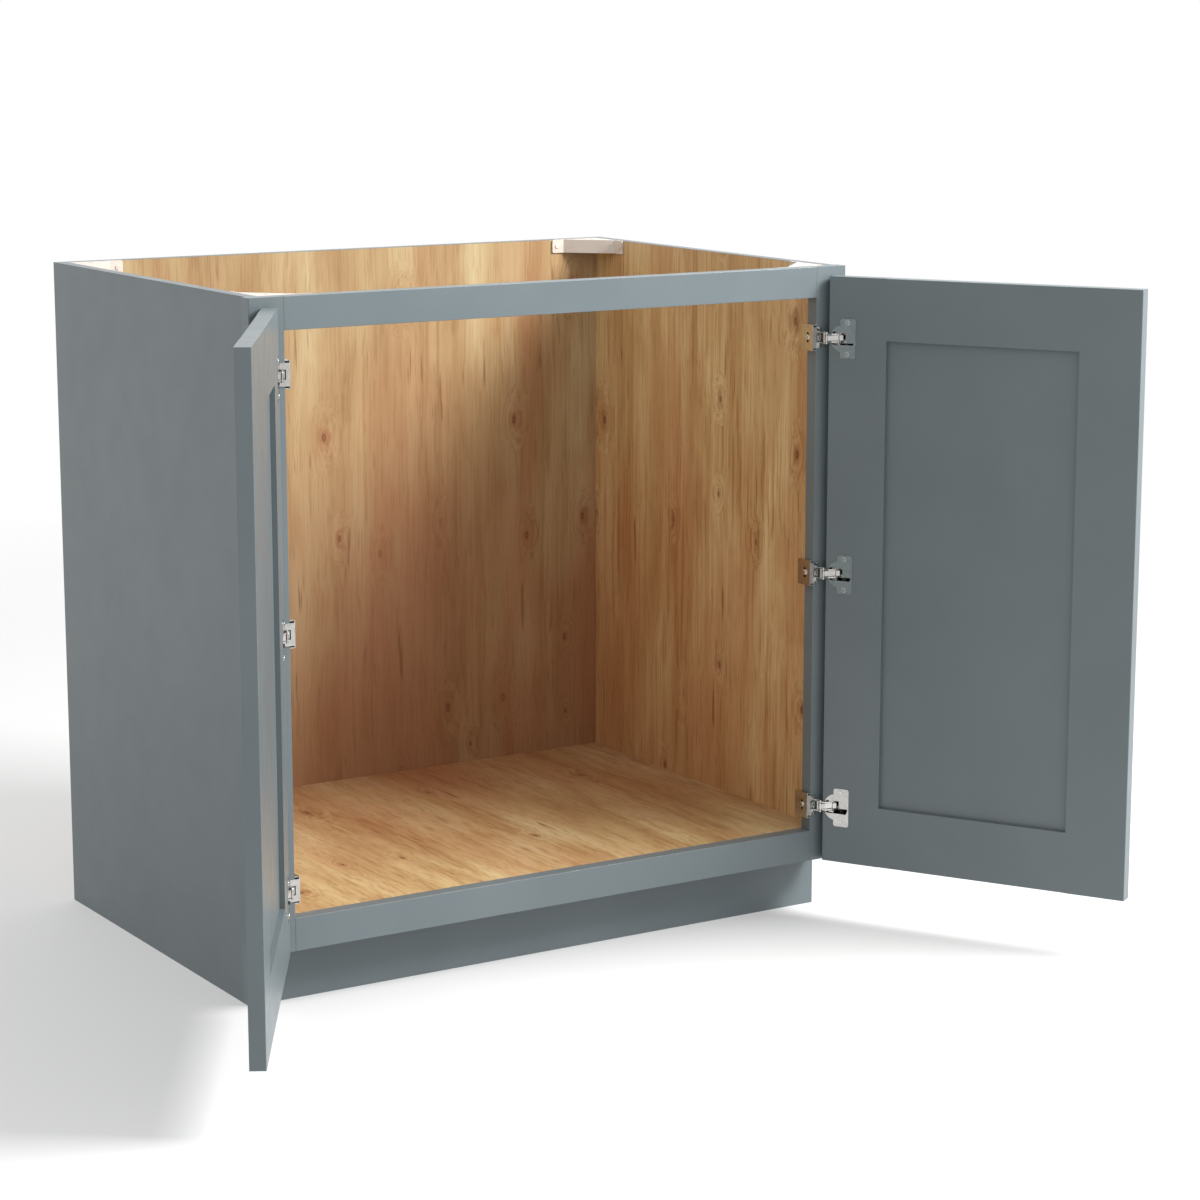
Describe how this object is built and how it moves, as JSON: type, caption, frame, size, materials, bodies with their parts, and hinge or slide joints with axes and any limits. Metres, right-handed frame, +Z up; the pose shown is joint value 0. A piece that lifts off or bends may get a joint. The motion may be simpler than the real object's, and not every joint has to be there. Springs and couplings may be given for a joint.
{
  "type": "kitchen base cabinet",
  "caption": "Kitchen base cabinet: face frame, double framed doors on concealed hinges, light wood interior, recessed toe space, corner braces under an open top",
  "frame": {"origin": "on the floor, in the plane of the wall face, halfway across the width", "axes": "X to the right seen from the front, Y to the back (the front faces -Y), Z up"},
  "size_m": [1.253, 0.9773, 0.8763],
  "materials": {
    "painted_wood": "satin blue-grey paint",
    "side_board": "clear-finished light wood inside, satin blue-grey paint outside",
    "back_board": "clear-finished light wood",
    "deck_board": "clear-finished light wood",
    "brace_plastic": "pale plastic",
    "hinge_nickel": "bright nickel plate",
    "screw_steel": "zinc plate",
    "coated_screw": "pale enamel over steel",
    "dowel_wood": "bare wood"
  },
  "bodies": {
    "cabinet": {"side_panel_left": "side_board", "side_panel_right": "side_board", "back_panel": "back_board", "deck_panel": "deck_board", "toe_board": "painted_wood", "face_stile_left": "painted_wood", "face_stile_right": "painted_wood", "face_rail_top": "painted_wood", "face_rail_bottom": "painted_wood", "frame_dowels": "dowel_wood", "corner_brace_front_left": "brace_plastic", "corner_brace_front_right": "brace_plastic", "corner_brace_back_left": "brace_plastic", "corner_brace_back_right": "brace_plastic", "brace_screws": "coated_screw", "hinge_base_left_bottom": "hinge_nickel", "hinge_base_left_middle": "hinge_nickel", "hinge_base_left_top": "hinge_nickel", "hinge_base_right_bottom": "hinge_nickel", "hinge_base_right_middle": "hinge_nickel", "hinge_base_right_top": "hinge_nickel", "hinge_base_pins": "screw_steel", "hinge_side_screws": "screw_steel", "hinge_adjusting_screws": "screw_steel"},
    "left_outer_links": {"outer_link_left_bottom": "hinge_nickel", "outer_link_left_middle": "hinge_nickel", "outer_link_left_top": "hinge_nickel"},
    "left_inner_links": {"inner_links_left": "hinge_nickel"},
    "left_door": {"door_stile_hinge_left": "painted_wood", "door_stile_free_left": "painted_wood", "door_rail_top_left": "painted_wood", "door_rail_bottom_left": "painted_wood", "door_panel_left": "painted_wood", "hinge_cup_left_bottom": "hinge_nickel", "hinge_cup_left_middle": "hinge_nickel", "hinge_cup_left_top": "hinge_nickel", "link_rivets_left": "screw_steel", "fork_pins_left": "screw_steel", "cup_screws_left": "screw_steel"},
    "right_outer_links": {"outer_link_right_bottom": "hinge_nickel", "outer_link_right_middle": "hinge_nickel", "outer_link_right_top": "hinge_nickel"},
    "right_inner_links": {"inner_links_right": "hinge_nickel"},
    "right_door": {"door_stile_hinge_right": "painted_wood", "door_stile_free_right": "painted_wood", "door_rail_top_right": "painted_wood", "door_rail_bottom_right": "painted_wood", "door_panel_right": "painted_wood", "hinge_cup_right_bottom": "hinge_nickel", "hinge_cup_right_middle": "hinge_nickel", "hinge_cup_right_top": "hinge_nickel", "link_rivets_right": "screw_steel", "fork_pins_right": "screw_steel", "cup_screws_right": "screw_steel"}
  },
  "joints": [
    {"name": "right_link_turn", "type": "hinge", "parent": "cabinet", "child": "right_outer_links", "pos_m": [0.3953, -0.605, 0.4716], "axis": [0, 0, 1], "range_deg": [0, 41.5]},
    {"name": "right_door_swing", "type": "hinge", "parent": "right_outer_links", "child": "right_door", "pos_m": [0.40783, -0.61876, 0.4716], "axis": [0, 0, 1], "range_deg": [-161.5, 0]},
    {"name": "right_inner_link_turn", "type": "hinge", "parent": "cabinet", "child": "right_inner_links", "pos_m": [0.3948, -0.6105, 0.4716], "axis": [0, 0, 1], "range_deg": [0, 17.6]},
    {"name": "left_link_turn", "type": "hinge", "parent": "cabinet", "child": "left_outer_links", "pos_m": [-0.3953, -0.605, 0.4716], "axis": [0, 0, 1], "range_deg": [-41.5, 0]},
    {"name": "left_door_swing", "type": "hinge", "parent": "left_outer_links", "child": "left_door", "pos_m": [-0.40783, -0.61876, 0.4716], "axis": [0, 0, 1], "range_deg": [0, 161.5]},
    {"name": "left_inner_link_turn", "type": "hinge", "parent": "cabinet", "child": "left_inner_links", "pos_m": [-0.3948, -0.6105, 0.4716], "axis": [0, 0, 1], "range_deg": [-17.6, 0]}
  ],
  "couplings": [
    {"joint": "right_link_turn", "follows": "right_door_swing", "ratio": -0.25696},
    {"joint": "right_inner_link_turn", "follows": "right_door_swing", "ratio": -0.10898},
    {"joint": "left_link_turn", "follows": "left_door_swing", "ratio": -0.25696},
    {"joint": "left_inner_link_turn", "follows": "left_door_swing", "ratio": -0.10898}
  ]
}
